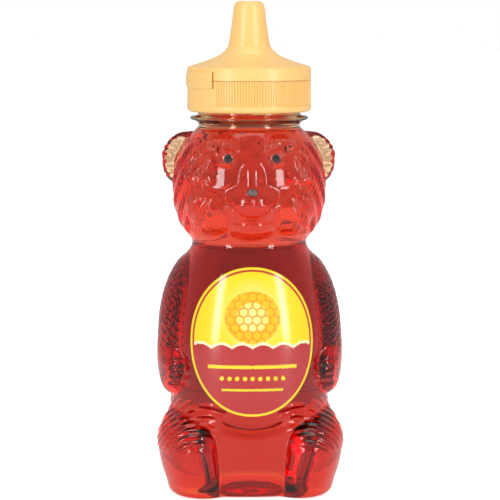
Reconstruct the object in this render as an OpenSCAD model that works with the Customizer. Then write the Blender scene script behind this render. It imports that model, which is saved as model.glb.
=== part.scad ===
// Honey bear bottle: a clear squeeze bottle blown in the shape of a sitting bear,
// full of honey, with a ribbed screw cap whose cone-shaped lid hinges open over a spout.
// Millimetres. The origin is the middle of the standing plane, +Z is up and the face looks along -Y.

/* [Bear shell] */
// Thickness of the blown wall
wall = 0.8; // [0.7:0.1:1.2]
// Height of the dome pushed up into the underside
push_up_h = 5.5; // [3:0.5:7]
// Height of the honey's surface
fill_z = 132.6; // [120:0.2:134]

/* [Neck finish] */
// Height of the mouth's rim
mouth_z = 138.2; // [137.8:0.1:138.2]
// Outer radius of the neck's wall under the thread
neck_r = 17.45; // [17.3:0.05:17.5]
// Radius of the mouth
mouth_r = 15.25; // [14.5:0.05:15.4]
// Outer radius of the support ring
ring_r = 20.1; // [19:0.1:20.4]
// Height of the support ring's upper face
ring_top = 128.0; // [127.6:0.1:128.2]

/* [Cap] */
// Outer radius over the ribs
cap_r = 21.1; // [20.9:0.1:21.3]
// Height of the skirt's lower edge
skirt_z = 129.4; // [129.2:0.1:129.8]
// Height of the parting line between the cap and its lid
seam_z = 140.3; // [140.3:0.1:140.5]
// Height of the lid's tip, which is the height of the whole bottle
tip_z = 166.8; // [166:0.1:168]
// Number of grip ribs in a full turn
rib_count = 140; // [100:10:160]
// Angle on each side of the hinge that has no ribs
hinge_half = 51.5; // [45:0.5:55]
// Height of the spout's tip
spout_z = 157.3; // [155:0.1:157.4]

/* [Labels] */
// Half width of the oval front label
label_a = 20.6; // [18:0.1:21]
// Half height of the oval front label
label_b = 25.0; // [22:0.1:26]
// Height of the front label's middle
label_z = 53.2; // [51:0.1:55]
// Thickness of the label film
film = 0.25; // [0.2:0.05:0.4]

/* [Hidden] */

amber = [0.78, 0.22, 0.08];
cream = [0.98, 0.80, 0.48];
$fn = 96;

// Stations of the bear's core, without ears, arms and legs:
// height, half width, depth in front, depth behind, roundness of the section
core = [
    [0, 25.6, 23.2, 26.4, 2.5],
    [6, 26.6, 24.0, 27.4, 2.5],
    [15, 27.0, 24.2, 28.0, 2.5],
    [24, 27.0, 24.4, 28.0, 2.4],
    [31, 26.9, 25.3, 27.6, 2.3],
    [42, 27.0, 26.2, 26.6, 2.3],
    [54, 26.6, 26.2, 25.6, 2.3],
    [66, 25.0, 25.0, 24.2, 2.25],
    [75, 23.0, 22.6, 22.4, 2.2],
    [81.2, 20.9, 20.0, 20.2, 2.1],
    [83.4, 19.9, 18.9, 19.2, 2.05],
    [85.3, 19.5, 18.4, 18.6, 2],
    [87.4, 20.7, 19.0, 19.4, 2],
    [89.4, 22.3, 20.0, 20.4, 2],
    [93.5, 24.4, 21.6, 22.0, 2],
    [98.5, 25.6, 22.6, 23.0, 2],
    [104.5, 25.9, 23.0, 23.4, 2],
    [110, 25.4, 22.9, 23.2, 2],
    [114, 24.4, 22.4, 22.6, 2],
    [118.5, 22.2, 21.0, 21.0, 2],
    [121.3, 20.2, 19.6, 19.6, 2],
    [123.4, 18.3, 18.2, 18.2, 2],
    [125, 16.9, 16.9, 16.9, 2]];

// Stations of the right arm, from the cuff of the paw up to the shoulder:
// height, centre x, centre y, half width, half depth
arm = [
    [31.8, 17.5, -4.5, 3, 4],
    [33.4, 19.0, -4.6, 8.0, 8.0],
    [35.5, 20.2, -4.6, 9.4, 10.4],
    [39.6, 21.0, -4.2, 10.0, 11.8],
    [46, 21.1, -3.4, 10.6, 12.2],
    [54, 20.9, -2.6, 10.4, 12.4],
    [60, 20.6, -2.0, 10.3, 12.4],
    [66, 20.0, -1.4, 9.9, 12.2],
    [70.8, 19.2, -0.9, 9.3, 11.6],
    [75, 18.2, -0.4, 8.4, 10.4],
    [79, 17.2, 0.2, 6.7, 8.4],
    [83, 15.5, 0.8, 3.5, 5]];

// Stations of the right leg, from the sole's edge up to the knee, as for the arm
leg = [
    [0, 17.2, -8.0, 10.4, 17.4],
    [4, 17.6, -8.2, 10.9, 18.4],
    [10, 18.6, -8.5, 11.8, 19.2],
    [17, 19.6, -8.6, 12.0, 19.4],
    [20, 19.8, -8.4, 11.7, 18.9],
    [22.6, 19.8, -8.0, 10.9, 17.5],
    [25, 19.6, -7.2, 9.9, 15.3],
    [27.2, 19.2, -6.0, 9.1, 12.2],
    [29.4, 18.6, -4.2, 7.4, 8.4],
    [31, 18.0, -2.6, 4.5, 5.0]];

// Broad lumps of the muzzle, jaw, cheeks and paws:
// centre x, y, z, half sizes along x, y, z, radius of the fillet round them
broad_lumps = [
    [0, -17.5, 99.4, 9.8, 10.5, 7.6, 2.6],
    [0, -16.4, 107.0, 5.0, 8.6, 8.6, 2.6],
    [0, -15.6, 92.4, 8.6, 9.6, 5.6, 2.0],
    [11.5, -13.5, 97.5, 9.5, 9.0, 9.0, 3.0],
    [-11.5, -13.5, 97.5, 9.5, 9.0, 9.0, 3.0],
    [24.6, -8.6, 44, 5.6, 8.4, 7.4, 1.6],
    [-24.6, -8.6, 44, 5.6, 8.4, 7.4, 1.6]];

// Small lumps that only the outside has: eyeballs and brows
small_lumps = [
    [8.0, -20.4, 114.6, 3.6, 3.0, 3.4, 0.8],
    [-8.0, -20.4, 114.6, 3.6, 3.0, 3.4, 0.8],
    [8.6, -15.9, 119.0, 6.4, 4.6, 3.0, 1.8],
    [-8.6, -15.9, 119.0, 6.4, 4.6, 3.0, 1.8]];

// Ear: centre and half sizes along x, y, z, its fillet and the depth of its dish
ear = [21.0, 4.6, 112.7, 8.7, 3.7, 9.7];
ear_fillet = 0.7;
ear_dish = 2.2;

// Rounding where the side meets the underside
foot_edge = 2.6;

// Value of column k of a station table at height z, along a smooth curve
function station(t, z, k, i = 0) =
    z <= t[0][0] ? t[0][k] :
    i > len(t) - 2 ? t[len(t) - 1][k] :
    z > t[i + 1][0] ? station(t, z, k, i + 1) :
    let (lo = t[max(i - 1, 0)], a = t[i], b = t[i + 1], hi = t[min(i + 2, len(t) - 1)],
         h = b[0] - a[0], u = (z - a[0]) / h,
         ma = (b[k] - lo[k]) / (b[0] - lo[0]) * h,
         mb = (hi[k] - a[k]) / (hi[0] - a[0]) * h,
         u2 = u * u, u3 = u2 * u)
    (2 * u3 - 3 * u2 + 1) * a[k] + (u3 - 2 * u2 + u) * ma
        + (3 * u2 - 2 * u3) * b[k] + (u3 - u2) * mb;

function soft_max(a, b, k) =
    let (h = max(k - abs(a - b), 0)) max(a, b) + h * h / (4 * k);

// Distance from the axis to the far side of an ellipse, along angle a, or 0 where it is missed
function far_side(a, cx, cy, rx, ry) =
    let (ux = cos(a) / rx, uy = sin(a) / ry, px = cx / rx, py = cy / ry,
         aa = ux * ux + uy * uy, bb = ux * px + uy * py,
         q = bb * bb - aa * (px * px + py * py - 1))
    q <= 0 ? 0 : max(0, (bb + sqrt(q)) / aa);

function lump_reach(a, z, l) =
    let (s = 1 - pow((z - l[2]) / l[5], 2))
    s <= 0 ? 0 : far_side(a, l[0], l[1], l[3] * sqrt(s), l[4] * sqrt(s));

function limb_reach(a, z, t, side) =
    z <= t[0][0] && t[0][0] > 0 || z >= t[len(t) - 1][0] ? 0 :
    far_side(a, side * station(t, z, 1), station(t, z, 2), station(t, z, 3), station(t, z, 4));

function core_reach(a, z) =
    let (w = station(core, z, 1), d = station(core, z, sin(a) < 0 ? 2 : 3), n = station(core, z, 4))
    pow(pow(abs(cos(a)) / w, n) + pow(abs(sin(a)) / d, n), -1 / n);

function with_lumps(r, a, z, lumps, i = 0) =
    i == len(lumps) ? r :
    with_lumps(soft_max(r, lump_reach(a, z, lumps[i]), lumps[i][6]), a, z, lumps, i + 1);

// How far the rounded lower edge draws the side in at height z
function edge_draw(z) =
    let (low = max(foot_edge - z, 0)) foot_edge - sqrt(foot_edge * foot_edge - low * low);

// Distance from the axis to the bear's skin along angle a at height z, without the small lumps and ears
function body_r(a, z) =
    let (side = cos(a) < 0 ? -1 : 1,
         body = core_reach(a, z),
         arms = z > 31 && z < 84 ? soft_max(body, limb_reach(a, z, arm, side), 1.4) : body,
         legs = z < 32 ? soft_max(arms, limb_reach(a, z, leg, side), 1.6) : arms)
    with_lumps(legs, a, z, broad_lumps) - edge_draw(z);

// The same with everything that stands out of it
function skin_r(a, z) =
    let (side = cos(a) < 0 ? -1 : 1, r = body_r(a, z))
    z < 100 ? r :
    soft_max(with_lumps(r, a, z, small_lumps),
        lump_reach(a, z, [side * ear[0], ear[1], ear[2], ear[3], ear[4], ear[5]]), ear_fillet);

// A point of the skin, with the dish of each ear pressed in
function skin_point(a, z) =
    let (r = skin_r(a, z), x = r * cos(a), y = r * sin(a),
         e = 1 - pow((abs(x) - ear[0] - 0.6) / (ear[3] - 1.7), 2) - pow((z - ear[2]) / (ear[5] - 1.9), 2),
         dish = z > 100 && y < ear[1] && y > -6 && e > 0 ? ear_dish * min(1, 1.8 * e) : 0)
    [x, y + dish, z];

// Angle of column i of n round the bear: the columns stand closest together over the face
function column_angle(i, n) =
    let (t = i < n / 2 ? 2 * i / n : 2 - 2 * i / n, a = 180 * t - 24 * sin(180 * t))
    i < n / 2 ? a - 90 : 270 - a;

function skin_ring(n, z) = [for (i = [0:n - 1]) skin_point(column_angle(i, n), z)];

// The cavity keeps inside the shell by the least radius within a short reach, so no facet of it cuts a crease
reach_a = 3;
reach_z = 1.4;
function cavity_r(a, z) =
    min([for (da = [-reach_a, 0, reach_a], dz = [-reach_z, 0, reach_z]) body_r(a + da, z + dz)]) - wall;
function cavity_ring(n, z, d) =
    [for (i = [0:n - 1]) let (a = column_angle(i, n), r = cavity_r(a, z) - d) [r * cos(a), r * sin(a), z]];
function round_ring(n, r, z) =
    [for (i = [0:n - 1]) let (a = column_angle(i, n)) [r * cos(a), r * sin(a), z]];

// A ring drawn in to a share s of its outline and turned towards a circle by a share m
function drawn_in(ring, s, m, z) =
    [for (p = ring) let (r = norm([p[0], p[1]]), k = s * (1 - m + m * dome_r / r)) [p[0] * k, p[1] * k, z]];

// Triangles between rings of n points that follow each other, the first ring starting at point number from.
// The two halves of the bear are split along opposite diagonals, so that they mirror each other.
function band_faces(n, rings, from) =
    [for (k = [0:rings - 2], i = [0:n - 1])
        let (a = from + k * n + i, b = from + k * n + (i + 1) % n)
            each i < n / 2 ?
                [[a, a + n, b + n], [a, b + n, b]] :
                [[a, a + n, b], [b, a + n, b + n]]];

// Triangles between a ring of three points a group and a ring of two points a group
function step_faces(groups, from, to) =
    [for (g = [0:groups - 1])
        let (o = [for (k = [0:3]) from + (3 * g + k) % (3 * groups)],
             i = [for (k = [0:2]) to + (2 * g + k) % (2 * groups)])
            each [[o[0], i[0], o[1]], [o[1], i[0], i[1]], [o[1], i[1], o[2]], [o[2], i[1], i[2]], [o[2], i[2], o[3]]]];

function first_fan(n) = [for (i = [0:n - 1]) [0, 1 + i, 1 + (i + 1) % n]];
function last_fan(n, from) = [for (i = [0:n - 1]) [from + i, from + n, from + (i + 1) % n]];

module closed_skin(first, rings, last) {
    n = len(rings[0]);
    count = len(rings);
    polyhedron([first, for (r = rings) each r, last],
        [each first_fan(n), each band_faces(n, count, 1), each last_fan(n, 1 + (count - 1) * n)], convexity = 8);
}

outer_n = 72;
inner_n = 48;
outer_rows = [0, 0.6, 1.8, 4, 8, 12, 15.5, 18.3, 20.6, 22.7, 24.8, 27, 29.2, 31.2, 33, 35,
    38, 42, 47, 53, 59, 64.5, 69, 73, 76.6, 79.8, 82.4, 84.2, 85.4, 86.8, 88.8, 91.2,
    93.8, 96.4, 99, 101.6, 104.2, 106.8, 109.2, 111.2, 113.2, 115.2, 117, 118.8, 120.4, 121.7, 122.9];
inner_rows = [1.9, 5, 11, 17, 22, 26.5, 30.5, 34, 39, 46, 54, 62, 69.5, 76,
    80.8, 83.8, 85.4, 88, 92.5, 98, 104, 109.5, 114.5, 118.6, 121.4, 123.2];

// Where the blown shell ends inside the neck's wall: height, outer radius, inner radius
rim = [125, 16.8, 15.8];

// Rings of the underside, from its middle outwards:
// share of the outline, how round it is, share of the dome's height
under_rings = [[0.34, 1, 0.93], [0.6, 0.9, 0.66], [0.8, 0.6, 0.22], [0.9, 0.2, 0]];
dome_r = 23;
floor_t = 1.2;

// Rings of the cavity from the rim down to the middle of its floor, each drawn in by d and the floor lifted by d
function cavity_rings(d) = [
    for (k = [len(inner_rows) - 1:-1:0]) cavity_ring(inner_n, inner_rows[k], d),
    for (k = [len(under_rings) - 1:-1:0])
        drawn_in(cavity_ring(inner_n, inner_rows[0], d), under_rings[k][0] + 0.03, under_rings[k][1],
            floor_t + under_rings[k][2] * push_up_h + d)];

module blown_shell() {
    under = [for (u = under_rings) drawn_in(skin_ring(outer_n, 0), u[0], u[1], u[2] * push_up_h)];
    outer = [each under, for (z = outer_rows) skin_ring(outer_n, z), round_ring(outer_n, rim[1], rim[0])];
    inner = [round_ring(inner_n, rim[2], rim[0]), each cavity_rings(0)];
    inner_from = 1 + len(outer) * outer_n;
    polyhedron(
        [[0, 0, push_up_h], for (r = outer) each r, for (r = inner) each r, [0, 0, push_up_h + floor_t]],
        [each first_fan(outer_n),
         each band_faces(outer_n, len(outer), 1),
         each step_faces(inner_n / 2, inner_from - outer_n, inner_from),
         each band_faces(inner_n, len(inner), inner_from),
         each last_fan(inner_n, inner_from + (len(inner) - 1) * inner_n)],
        convexity = 10);
}

ring_t = 1.3;
lip_r = 0.4;

module neck_finish() {
    rotate_extrude()
        polygon([
            [mouth_r, rim[0] + 0.5],
            [mouth_r, mouth_z - lip_r],
            [mouth_r + lip_r, mouth_z],
            [neck_r - lip_r, mouth_z],
            [neck_r, mouth_z - lip_r],
            [neck_r, ring_top + 0.5],
            [neck_r + 0.5, ring_top],
            [ring_r - 0.3, ring_top - 0.15],
            [ring_r, ring_top - 0.45],
            [ring_r, ring_top - ring_t + 0.3],
            [ring_r - 0.3, ring_top - ring_t],
            [neck_r + 0.8, ring_top - ring_t - 0.4],
            [neck_r, ring_top - ring_t - 1.0],
            [neck_r, rim[0] + 0.3],
            [neck_r - 0.3, rim[0]],
            [rim[2], rim[0]]]);
}

module bottle() {
    color(amber, 0.6)
        blown_shell();
}

// The neck stands on the shell's rim. On the real bottle both are one blown piece.
module bottle_neck() {
    color(amber, 0.6)
        neck_finish();
}

gap = 0.05;

module honey() {
    rings = [
        round_ring(inner_n, mouth_r - 2 * gap, fill_z),
        round_ring(inner_n, mouth_r - 2 * gap, rim[0] + 0.6),
        round_ring(inner_n, rim[2] - 2 * gap, rim[0] - 0.2),
        each cavity_rings(gap)];
    last = 1 + (len(rings) - 1) * inner_n;
    faces = [each first_fan(inner_n), each band_faces(inner_n, len(rings), 1), each last_fan(inner_n, last)];
    color([0.55, 0.12, 0.02])
        polyhedron([[0, 0, fill_z], for (r = rings) each r, [0, 0, push_up_h + floor_t + gap]],
            [for (f = faces) [f[2], f[1], f[0]]], convexity = 8);
}

// Angle at which the skin in front (way = -1) or behind (way = 1) stands at the place x, at height z
function face_angle(x, z, way, a = undef, steps = 6) =
    steps == 0 ? a :
    let (r = is_undef(a) ? 25 : skin_r(a, z))
    face_angle(x, z, way, way * acos(max(-0.98, min(0.98, x / r))), steps - 1);
function face_point(x, z, way, d) =
    let (a = face_angle(x, z, way), r = skin_r(a, z) + d) [r * cos(a), r * sin(a), z];

// A thin patch that follows the skin: an oval of half sizes rx and rz, squarer as power grows above 2
module skin_patch(x, z, rx, rz, way, thick, rings, n, power = 2, lift = gap) {
    function place(k, i, d) =
        let (f = 360 * i / n, c = cos(f), s = sin(f), share = k / rings,
             px = sign(c) * pow(abs(c), 2 / power), pz = sign(s) * pow(abs(s), 2 / power))
        face_point(x - way * share * rx * px, z + share * rz * pz, way, d);
    closed_skin(face_point(x, z, way, lift),
        [for (k = [1:rings]) [for (i = [0:n - 1]) place(k, i, lift)],
         for (k = [rings:-1:1]) [for (i = [0:n - 1]) place(k, i, lift + thick)]],
        face_point(x, z, way, lift + thick));
}

module front_label() {
    color([0.99, 0.80, 0.05])
        skin_patch(0, label_z, label_a, label_b, -1, film, 7, 40, 2.1, 0.22);
}

// Back label: middle height, half width, half height, squareness
back_patch = [53.5, 20.5, 25.5, 3.2];

module back_label() {
    color([0.95, 0.94, 0.90])
        skin_patch(0, back_patch[0], back_patch[1], back_patch[2], 1, film, 7, 36, back_patch[3], 0.4);
}

ink = 0.12;
// Painted pupil and nose: place across, height, half width, half height
pupil = [8.0, 114.7, 1.45, 1.45];
nose = [0, 103.2, 2.0, 1.2];

module eye_paint() {
    color([0.12, 0.02, 0.02])
        for (side = [-1, 1])
            skin_patch(side * pupil[0], pupil[1], pupil[2], pupil[3], -1, ink, 1, 12);
}

module nose_paint() {
    color([0.25, 0.08, 0.05])
        skin_patch(nose[0], nose[1], nose[2], nose[3], -1, ink, 1, 12);
}

seal_r = 16.9;
seal_t = 0.3;
deck_low = 139.0;
deck_t = 1.2;

module inner_seal() {
    color([0.86, 0.86, 0.84])
        translate([0, 0, mouth_z])
            cylinder(r = seal_r, h = seal_t);
}

gasket_in = 14.2;
gasket_r = 18.6;

module cap_gasket() {
    color([0.96, 0.95, 0.92])
        translate([0, 0, mouth_z + seal_t])
            difference() {
                cylinder(r = gasket_r, h = deck_low - mouth_z - seal_t);
                translate([0, 0, -1])
                    cylinder(r = gasket_in, h = 3);
            }
}

skirt_in = 19.2;
wall_r = 20.6;
lip_h = 2.2;
spigot_r = 19.4;
spigot_h = 1.5;
spigot_t = 1.2;
rib_depth = 0.4;
rib_sunk = 0.4;
skirt_r = cap_r + 0.1;
orifice_r = 1.6;
notch_w = 0.6;
web_low = 137.6;
web_high = 143.2;
web_t = 0.45;

// Outline of the ribbed part of the skirt: teeth where there is grip, a smooth arc beside the hinge
function rib_outline() =
    let (step = 360 / rib_count)
    [for (i = [0:rib_count - 1])
        let (a = i * step, ribbed = abs(a - 180) > hinge_half + 3)
            each ribbed ?
                [[cap_r - rib_depth, a], [cap_r, a + step * 0.25], [cap_r, a + step * 0.6], [cap_r - rib_depth, a + step * 0.85]] :
                [[cap_r, a], [cap_r, a + step / 2]]];

module rib_ring() {
    translate([0, 0, skirt_z + lip_h - rib_sunk])
        linear_extrude(height = deck_low + deck_t - skirt_z - lip_h + rib_sunk - 0.15)
            difference() {
                polygon([for (p = rib_outline()) p[0] * [cos(p[1]), sin(p[1])]]);
                circle(r = wall_r - 0.6);
            }
}

module cap_body() {
    rotate_extrude()
        polygon([
            [skirt_in + 0.5, skirt_z],
            [skirt_r - 1.4, skirt_z],
            for (f = [15:15:90]) [skirt_r - 1.4 + 1.4 * sin(f), skirt_z + 1.4 - 1.4 * cos(f)],
            [skirt_r, skirt_z + lip_h],
            [wall_r, skirt_z + lip_h],
            [wall_r, deck_low + deck_t],
            [spigot_r, deck_low + deck_t],
            [spigot_r, deck_low + deck_t + spigot_h - 0.4],
            [spigot_r - 0.4, deck_low + deck_t + spigot_h],
            [spigot_r - spigot_t, deck_low + deck_t + spigot_h],
            [spigot_r - spigot_t - 0.2, deck_low + deck_t],
            [9.0, deck_low + deck_t],
            [7.6, deck_low + deck_t + 0.5],
            [6.5, deck_low + deck_t + 1.8],
            [5.4, deck_low + deck_t + 4.4],
            [4.3, deck_low + deck_t + 8.0],
            [3.4, spout_z - 4.6],
            [2.7, spout_z - 0.8],
            [2.2, spout_z],
            [orifice_r, spout_z],
            [orifice_r, spout_z - 1.8],
            [2.3, spout_z - 4.8],
            [3.2, deck_low + deck_t + 7.8],
            [4.3, deck_low + deck_t + 4.0],
            [5.5, deck_low + deck_t + 1.0],
            [6.6, deck_low],
            [skirt_in - 0.4, deck_low],
            [skirt_in, deck_low - 0.4],
            [skirt_in, skirt_z + 0.5]]);
}

// The slits at both ends of the hinge, cut through the rims of the cap and the lid
module hinge_slits() {
    for (side = [-1, 1])
        rotate([0, 0, 180 + side * (hinge_half + 0.8)])
            translate([cap_r - 0.9, -notch_w / 2, web_low])
                cube([2, notch_w, web_high - web_low]);
}

module cap_base() {
    color(cream)
        difference() {
            union() {
                cap_body();
                rib_ring();
            }
            hinge_slits();
        }
}

lid_wall = 1.4;
pin_r = 1.15;
pin_dip = 0.4;

// Outline of the lid's cone and flare, from the rim's edge up to the tip: radius, height above the parting line
lid_outer = [[20.6, 4.45], [19.6, 4.75], [17.2, 5.5], [14.5, 6.4], [11.6, 7.5], [9.4, 8.7], [8.0, 10.0],
    [7.2, 11.3], [6.8, 12.9], [6.45, 15.2], [5.95, 18.8], [5.45, 22.8], [5.15, 24.8]];
lid_inner = [[18.6, 3.5], [16.9, 4.2], [14.1, 5.15], [11.0, 6.3], [8.5, 7.8], [7.0, 9.4], [6.2, 11.0],
    [5.65, 12.9], [5.3, 15.2], [4.8, 18.8], [4.3, 22.8]];

module cap_lid() {
    tip_h = tip_z - seam_z;
    tip_round = 1.7;
    color(cream)
        difference() {
            union() {
                translate([0, 0, seam_z])
                    rotate_extrude()
                        polygon([
                            [cap_r - lid_wall, 0],
                            [cap_r, 0],
                            [cap_r, 3.9],
                            [cap_r - 0.15, 4.25],
                            each lid_outer,
                            [5.05, tip_h - tip_round],
                            for (f = [15:15:75]) [5.05 - tip_round + tip_round * cos(f),
                                tip_h - tip_round + tip_round * sin(f)],
                            [5.05 - tip_round, tip_h],
                            [0, tip_h],
                            [0, tip_h - 1.5],
                            [3.6, tip_h - 1.5],
                            [4.1, tip_h - 2.0],
                            for (k = [len(lid_inner) - 1:-1:0]) lid_inner[k],
                            [cap_r - lid_wall, 2.6]]);
                translate([0, 0, spout_z - pin_dip])
                    cylinder(r = pin_r, h = seam_z + tip_h - 1 - spout_z + pin_dip);
            }
            hinge_slits();
        }
}

module cap_hinge() {
    color(cream)
        rotate([0, 0, 180 - hinge_half])
            rotate_extrude(angle = 2 * hinge_half)
                polygon([
                    [cap_r, web_low],
                    [cap_r + web_t * 0.8, web_low + 1.0],
                    [cap_r + web_t, seam_z],
                    [cap_r + web_t * 0.8, web_high - 1.0],
                    [cap_r, web_high]]);
}

bottle();
bottle_neck();
honey();
front_label();
back_label();
eye_paint();
nose_paint();
inner_seal();
cap_gasket();
cap_base();
cap_lid();
cap_hinge();
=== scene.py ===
# %% [markdown]
# A honey bottle in the shape of a sitting bear. The real one is blown from clear polyester and
# gets nearly all its colour from the honey. So this file builds the clear wall and the honey as
# two bodies, one inside the other, and lets light do the rest.

# %% Open the fixed model
import math

import bpy
import numpy as np
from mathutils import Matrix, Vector


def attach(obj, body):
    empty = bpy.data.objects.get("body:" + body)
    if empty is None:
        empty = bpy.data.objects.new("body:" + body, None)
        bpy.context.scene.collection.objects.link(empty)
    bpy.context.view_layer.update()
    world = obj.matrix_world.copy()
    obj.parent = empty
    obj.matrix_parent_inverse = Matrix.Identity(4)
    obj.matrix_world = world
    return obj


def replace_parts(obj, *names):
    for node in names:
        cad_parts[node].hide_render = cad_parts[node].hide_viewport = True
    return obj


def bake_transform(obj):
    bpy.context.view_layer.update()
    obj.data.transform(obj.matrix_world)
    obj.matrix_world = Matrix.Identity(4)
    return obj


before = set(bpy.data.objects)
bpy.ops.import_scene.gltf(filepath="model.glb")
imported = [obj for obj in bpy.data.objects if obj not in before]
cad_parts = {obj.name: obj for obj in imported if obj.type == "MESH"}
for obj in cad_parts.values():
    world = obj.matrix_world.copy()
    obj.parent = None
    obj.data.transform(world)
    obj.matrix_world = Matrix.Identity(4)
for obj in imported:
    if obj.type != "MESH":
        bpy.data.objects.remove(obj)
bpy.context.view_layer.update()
MM = 0.001

# %% [markdown]
# The bear could be sculpted by hand, but a blown bottle is close to a round form: nearly every
# point of its skin can be seen from its own axis. So the skin is one distance from the axis for
# each angle and height. The torso comes from stations, and limbs and muzzle from ellipses.

# %% Stations of the bear, in millimetres
# height, half width, depth in front, depth behind, roundness of the section
TORSO = np.array([
    [0, 25.6, 23.2, 26.4, 2.5], [6, 26.6, 24.0, 27.4, 2.5], [15, 27.0, 24.2, 28.0, 2.5],
    [24, 27.0, 24.4, 28.0, 2.4], [31, 26.9, 25.3, 27.6, 2.3], [42, 27.0, 26.2, 26.6, 2.3],
    [54, 26.6, 26.2, 25.6, 2.3], [66, 25.0, 25.0, 24.2, 2.25], [75, 23.0, 22.6, 22.4, 2.2],
    [81.2, 20.9, 20.0, 20.2, 2.1], [83.4, 19.9, 18.9, 19.2, 2.05], [85.3, 19.5, 18.4, 18.6, 2],
    [87.4, 20.7, 19.0, 19.4, 2], [89.4, 22.3, 20.0, 20.4, 2], [93.5, 24.4, 21.6, 22.0, 2],
    [98.5, 25.6, 22.6, 23.0, 2], [104.5, 25.9, 23.0, 23.4, 2], [110, 25.4, 22.9, 23.2, 2],
    [114, 24.4, 22.4, 22.6, 2], [118.5, 22.2, 21.0, 21.0, 2], [121.3, 20.2, 19.6, 19.6, 2],
    [123.4, 18.3, 18.2, 18.2, 2], [125, 16.9, 16.9, 16.9, 2]])
HALF_WIDTH, FRONT, BACK, ROUNDNESS = 1, 2, 3, 4
# height, centre x, centre y, half width, half depth
ARM = np.array([
    [31.8, 17.5, -4.5, 3, 4], [33.4, 19.0, -4.6, 8.0, 8.0], [35.5, 20.2, -4.6, 9.4, 10.4],
    [39.6, 21.0, -4.2, 10.0, 11.8], [46, 21.1, -3.4, 10.6, 12.2], [54, 20.9, -2.6, 10.4, 12.4],
    [60, 20.6, -2.0, 10.3, 12.4], [66, 20.0, -1.4, 9.9, 12.2], [70.8, 19.2, -0.9, 9.3, 11.6],
    [75, 18.2, -0.4, 8.4, 10.4], [79, 17.2, 0.2, 6.7, 8.4], [83, 15.5, 0.8, 3.5, 5]])
LEG = np.array([
    [0, 17.2, -8.0, 10.4, 17.4], [4, 17.6, -8.2, 10.9, 18.4], [10, 18.6, -8.5, 11.8, 19.2],
    [17, 19.6, -8.6, 12.0, 19.4], [20, 19.8, -8.4, 11.7, 18.9], [22.6, 19.8, -8.0, 10.9, 17.5],
    [25, 19.6, -7.2, 9.9, 15.3], [27.2, 19.2, -6.0, 9.1, 12.2], [29.4, 18.6, -4.2, 7.4, 8.4],
    [31, 18.0, -2.6, 4.5, 5.0]])
CENTRE_X, CENTRE_Y, HALF_X, HALF_Y = 1, 2, 3, 4
ARM_LOW, ARM_HIGH, LEG_HIGH = 31, 84, 32
ARM_FILLET, LEG_FILLET = 1.4, 1.6
print("torso, arm and leg:", len(TORSO), len(ARM), len(LEG), "stations")

# %% [markdown]
# Muzzle, cheeks, paws, eyes, brows and ears are rounded lumps on that body. Each is an ellipsoid,
# and a fillet runs where it meets the rest, as a blown wall has no sharp inside corners.

# %% Lumps of the bear, in millimetres
# centre x, y, z, half sizes along x, y, z, and the fillet round the lump
MUZZLE_AND_PAWS = [
    [0, -17.5, 99.4, 9.8, 10.5, 7.6, 2.6], [0, -16.4, 107.0, 5.0, 8.6, 8.6, 2.6],
    [0, -15.6, 92.4, 8.6, 9.6, 5.6, 2.0], [11.5, -13.5, 97.5, 9.5, 9.0, 9.0, 3.0],
    [-11.5, -13.5, 97.5, 9.5, 9.0, 9.0, 3.0], [24.6, -8.6, 44, 5.6, 8.4, 7.4, 1.6],
    [-24.6, -8.6, 44, 5.6, 8.4, 7.4, 1.6]]
EYES_AND_BROWS = [
    [8.0, -20.4, 114.6, 3.6, 3.0, 3.4, 0.8], [-8.0, -20.4, 114.6, 3.6, 3.0, 3.4, 0.8],
    [8.6, -15.9, 119.0, 6.4, 4.6, 3.0, 1.8], [-8.6, -15.9, 119.0, 6.4, 4.6, 3.0, 1.8]]
EAR = [21.0, 4.6, 112.7, 8.7, 3.7, 9.7]
EAR_FILLET = 0.7
# the hollow inside each ear: centre y, half sizes along x, y, z
EAR_INSIDE = [5.9, 7.6, 1.5, 8.6]
FACE_LOW = 100
FOOT_EDGE = 2.6
WALL = 0.8
print("lumps:", len(MUZZLE_AND_PAWS) + len(EYES_AND_BROWS), "and two ears")

# %% [markdown]
# Straight lines between stations would leave a kink at each one. A cubic that knows the slope at
# both its ends passes through every station and stays smooth, as a blown skin is.

# %% Smooth values between stations, and soft joins
def station(table, z, column):
    """A smooth value of one column of a station table at each height."""
    heights, values = table[:, 0], table[:, column]
    slopes = np.empty(len(heights))
    slopes[1:-1] = (values[2:] - values[:-2]) / (heights[2:] - heights[:-2])
    slopes[0] = (values[1] - values[0]) / (heights[1] - heights[0])
    slopes[-1] = (values[-1] - values[-2]) / (heights[-1] - heights[-2])
    z = np.clip(z, heights[0], heights[-1])
    i = np.clip(np.searchsorted(heights, z) - 1, 0, len(heights) - 2)
    h = heights[i + 1] - heights[i]
    u = (z - heights[i]) / h
    return ((2 * u**3 - 3 * u**2 + 1) * values[i] + (u**3 - 2 * u**2 + u) * slopes[i] * h
            + (3 * u**2 - 2 * u**3) * values[i + 1] + (u**3 - u**2) * slopes[i + 1] * h)


def soft_max(a, b, fillet):
    """The larger of two distances, with a fillet where they cross."""
    h = np.maximum(fillet - np.abs(a - b), 0)
    return np.maximum(a, b) + h * h / (4 * fillet)


print("half width at the neck's crease:", round(float(station(TORSO, 85.3, HALF_WIDTH)), 1), "mm")

# %% [markdown]
# Seen from the axis, a limb is an ellipse that lies off centre. The skin is where a ray from the
# axis leaves it on the far side, and a ray that misses the limb gives 0 and changes nothing.

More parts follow.
